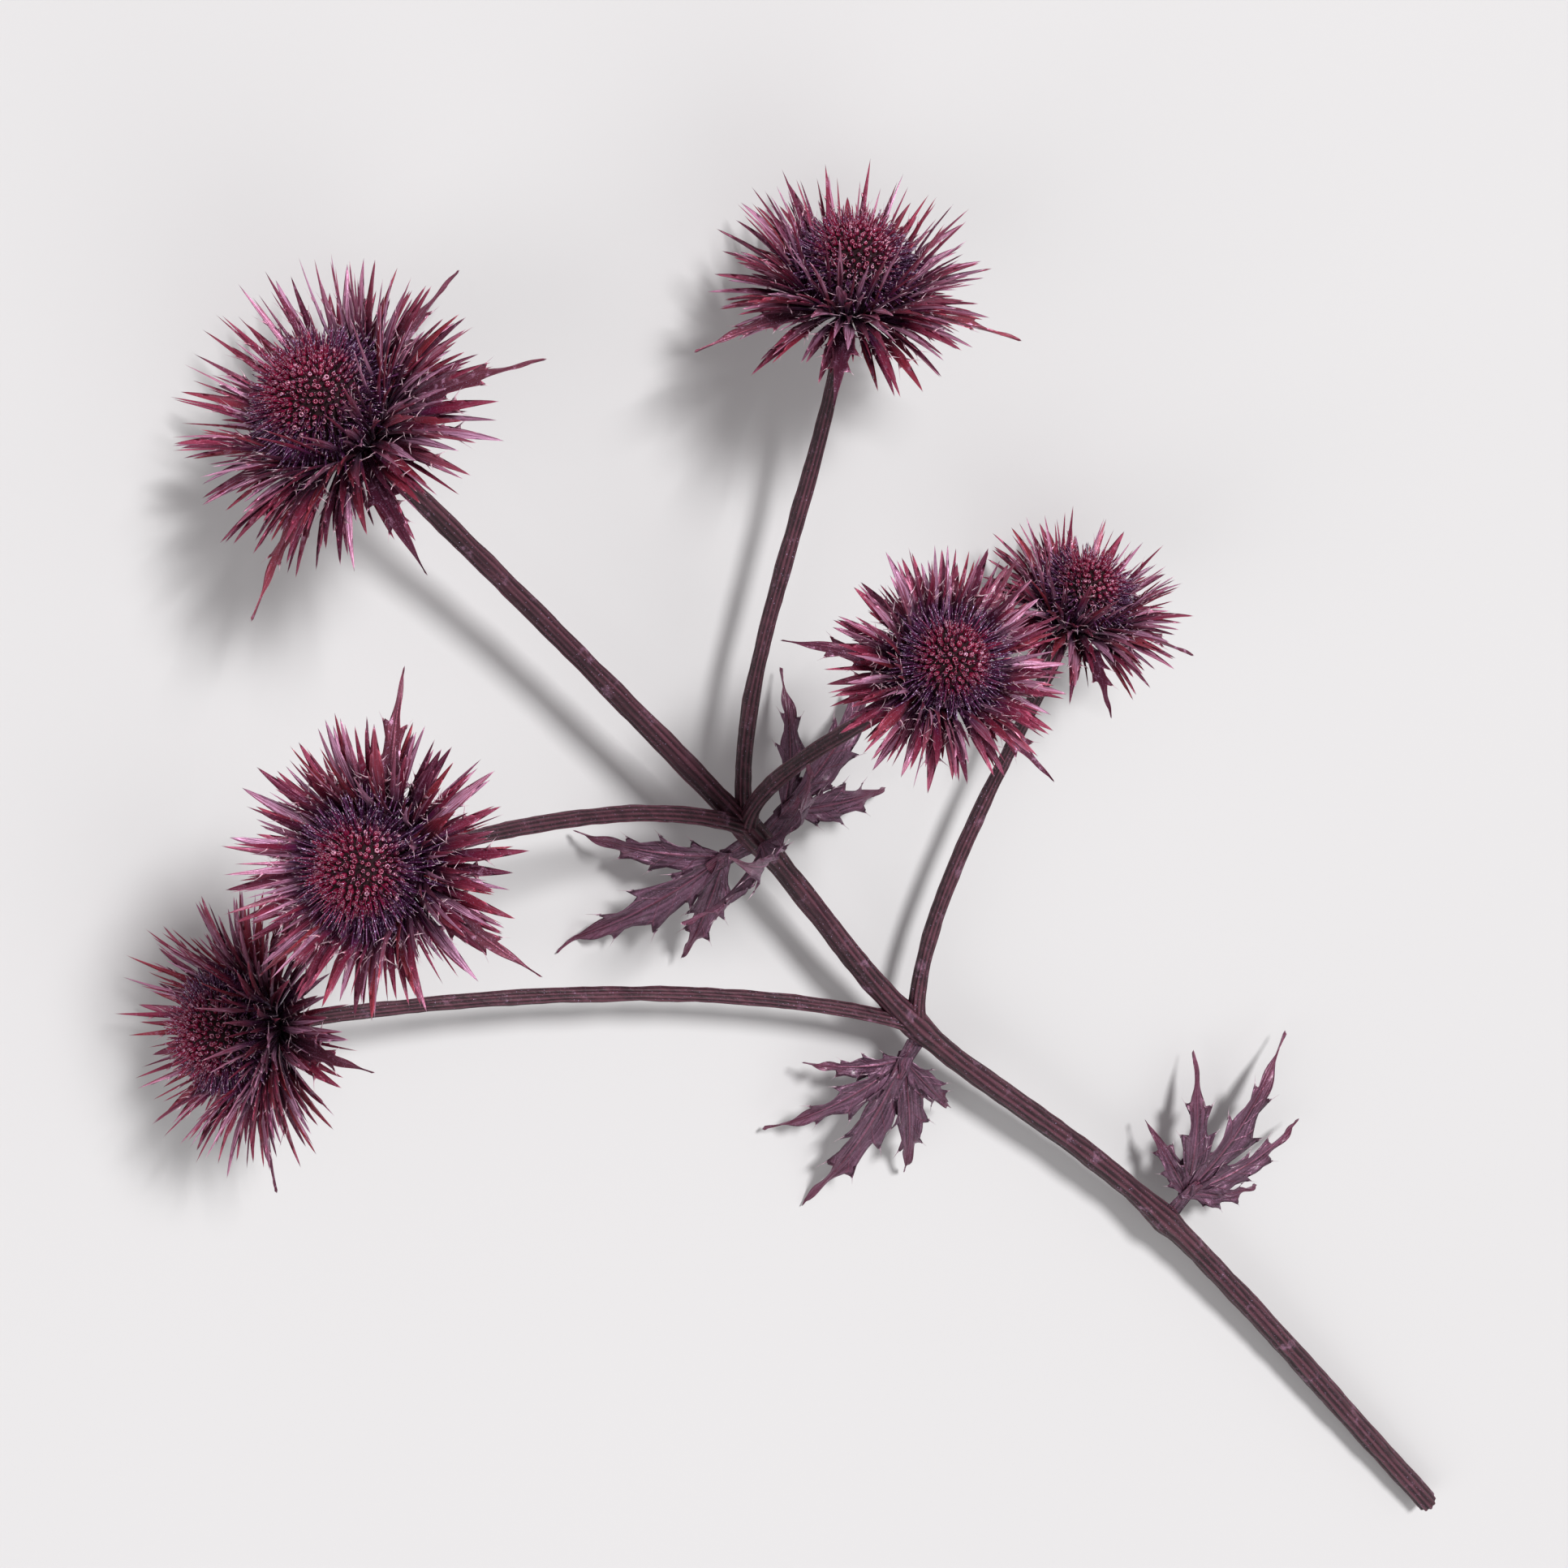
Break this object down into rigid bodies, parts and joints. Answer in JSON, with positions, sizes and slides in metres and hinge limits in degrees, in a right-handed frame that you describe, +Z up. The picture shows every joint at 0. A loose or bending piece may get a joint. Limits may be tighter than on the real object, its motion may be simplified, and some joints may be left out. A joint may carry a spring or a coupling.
{
  "type": "sea holly stem",
  "caption": "Cut branching flower stem laid down, with domed spiny flower heads in toothed bract collars and divided leaves, pearly burgundy finish.",
  "frame": {"origin": "middle of the part's bounding box in plan, on the surface that the stem lies on", "axes": "+Y along the stem from its cut end towards the flower heads, +Z up from the surface"},
  "size_m": [0.2568, 0.5183, 0.1166],
  "materials": {
    "stem": "dyed ribbed stem, dark purple-brown with a faint pearl on the ribs",
    "bracts": "dry bract with pearly rose-violet paint, paler on ridges and tips",
    "florets": "crimson-magenta florets with pale tips",
    "leaves": "dry leaf, brown-purple with patches of pearly paint"
  },
  "bodies": {
    "root": {"stem": "stem", "head_top_bracts": "bracts", "head_top_dome": "florets", "head_left_bracts": "bracts", "head_left_dome": "florets", "head_right_bracts": "bracts", "head_right_dome": "florets", "head_high_left_bracts": "bracts", "head_high_left_dome": "florets", "head_high_right_bracts": "bracts", "head_high_right_dome": "florets", "head_low_right_bracts": "bracts", "head_low_right_dome": "florets", "leaf_low": "leaves", "leaf_middle": "leaves", "leaf_fork_left": "leaves", "leaf_fork_right": "leaves", "leaf_fork_top": "leaves"}
  },
  "joints": []
}
